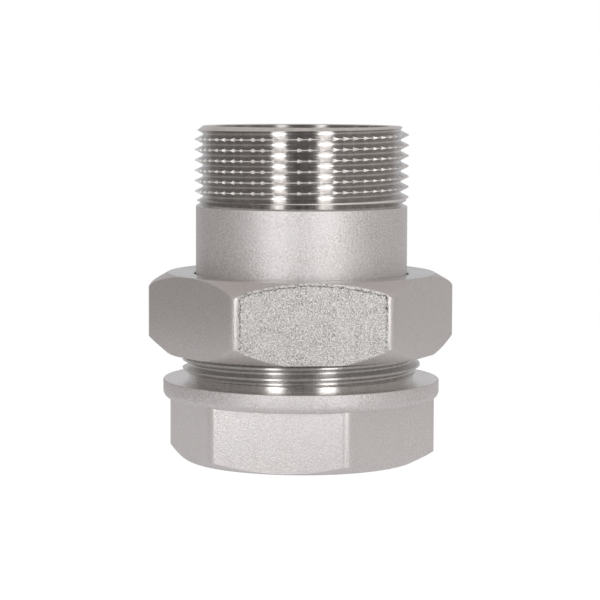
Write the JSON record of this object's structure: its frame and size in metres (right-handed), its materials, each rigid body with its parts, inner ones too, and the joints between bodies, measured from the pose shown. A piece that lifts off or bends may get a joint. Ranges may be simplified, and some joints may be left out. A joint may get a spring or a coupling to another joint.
{
  "type": "straight pipe union",
  "caption": "Straight pipe union with a conical sealed joint: female hexagon body, union nut and male threaded tailpiece, in blasted nickel-plated brass.",
  "frame": {"origin": "centre of the female body's end face, where the union stands", "axes": "+Z along the pipe axis towards the male thread, -Y square to one flat of the body's hexagon"},
  "size_m": [0.0662, 0.0664, 0.0745],
  "materials": {
    "nickel_body": "blasted nickel plate, machined bright on the threads",
    "nickel_nut": "blasted nickel plate, coarse grain on one flat",
    "nickel_tail": "blasted nickel plate barrel, machined bright thread",
    "seal_rubber": "smooth black elastomer"
  },
  "bodies": {
    "female_body": {"female_body": "nickel_body"},
    "seal_ring": {"seal_ring": "seal_rubber"},
    "tailpiece": {"tailpiece": "nickel_tail"},
    "union_nut": {"union_nut": "nickel_nut"}
  },
  "joints": [
    {"name": "joint_lift", "type": "slide", "parent": "female_body", "child": "seal_ring", "axis": [0, 0, 1], "range_m": [0, 0.00924]},
    {"name": "nut_turn", "type": "hinge", "parent": "seal_ring", "child": "union_nut", "pos_m": [0, 0, 0.033], "axis": [0, 0, 1], "range_deg": [0, 1440]},
    {"name": "tail_swivel", "type": "hinge", "parent": "seal_ring", "child": "tailpiece", "pos_m": [0, 0, 0.0362], "axis": [0, 0, 1], "continuous": true}
  ],
  "couplings": [
    {"joint": "joint_lift", "follows": "nut_turn", "m_per_rad": 0.00036749}
  ]
}
